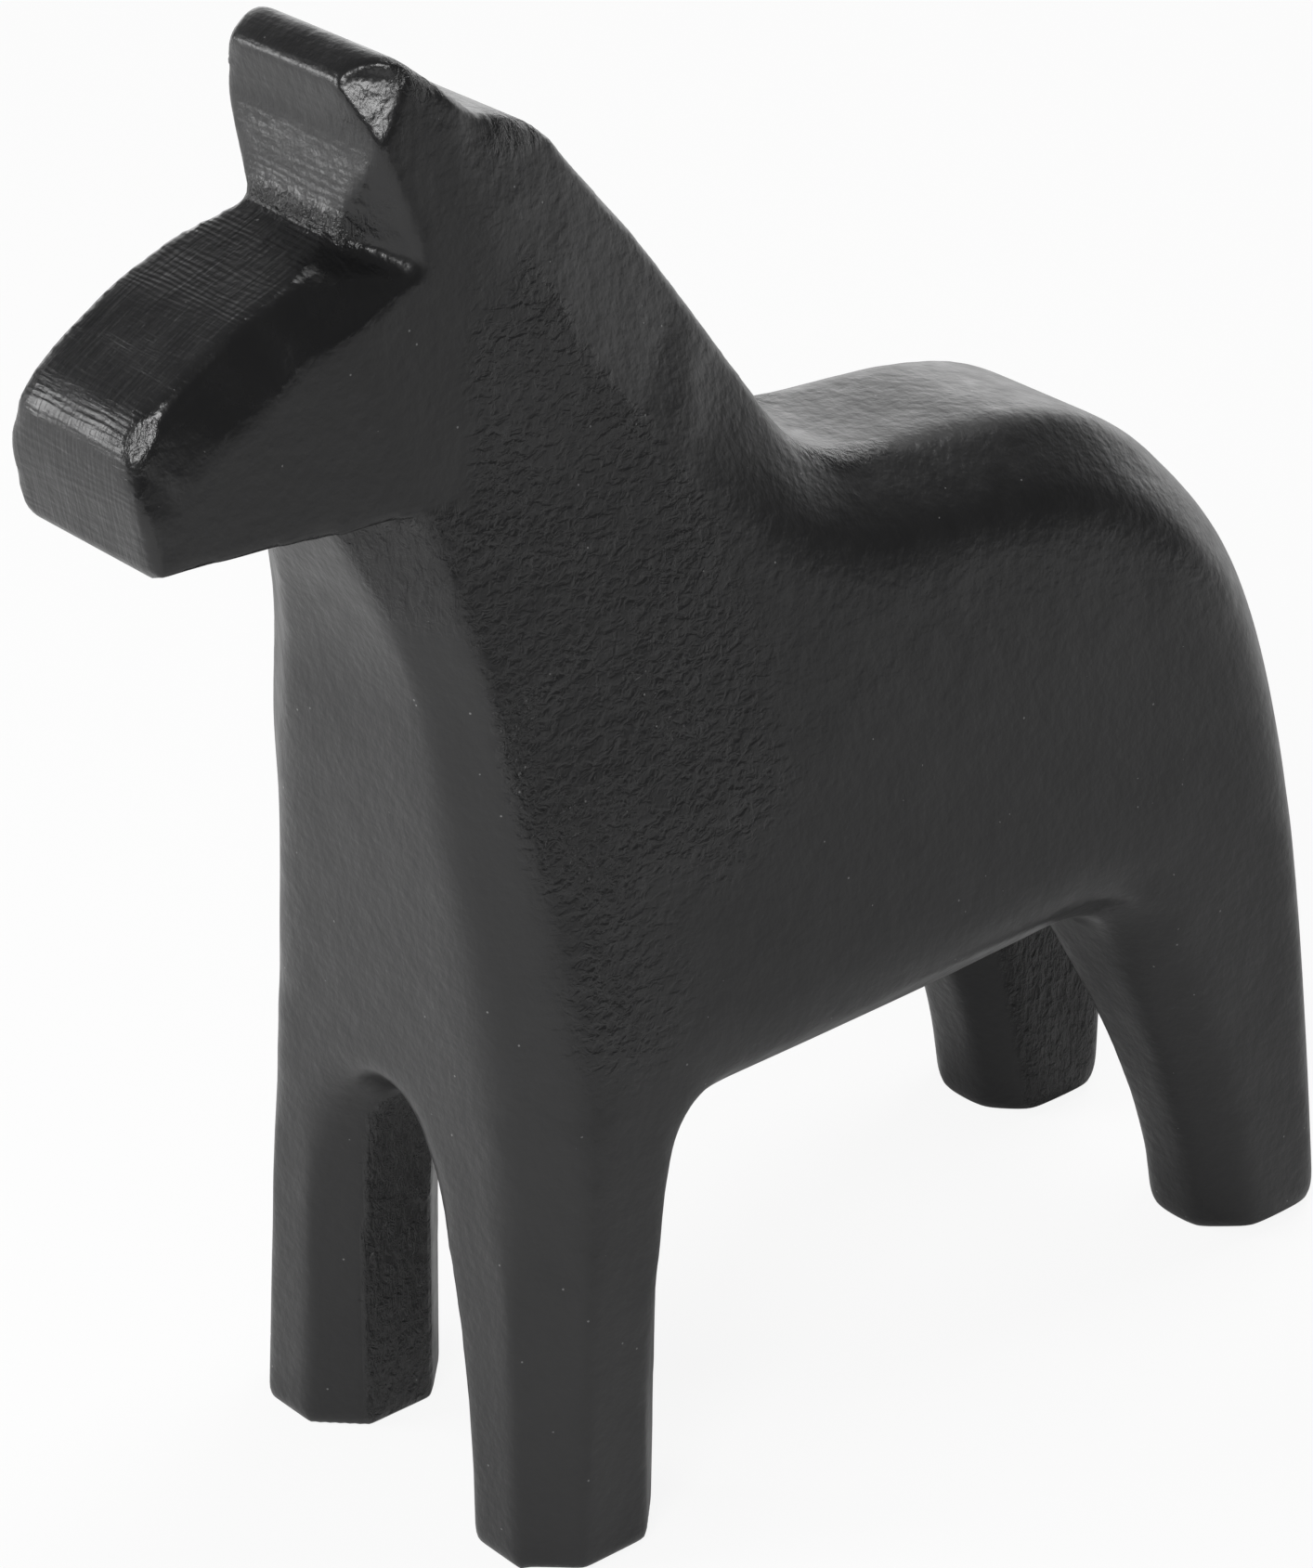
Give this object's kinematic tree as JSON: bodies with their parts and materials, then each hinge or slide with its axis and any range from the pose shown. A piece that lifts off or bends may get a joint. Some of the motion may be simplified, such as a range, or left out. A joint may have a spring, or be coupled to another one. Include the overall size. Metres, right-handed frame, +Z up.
{
  "type": "dala horse",
  "caption": "Hand-carved standing wooden horse with a thick neck, wedge ears, square muzzle and faceted hooves, painted plain black; a shelf ornament.",
  "frame": {"origin": "middle of the footprint, on the surface that the hooves stand on", "axes": "+Z up, the nose points to -X, the horse's left side faces -Y"},
  "size_m": [0.1426, 0.0484, 0.1505],
  "materials": {
    "black_paint": "satin"
  },
  "bodies": {
    "root": {"carved_horse": "black_paint"}
  },
  "joints": []
}
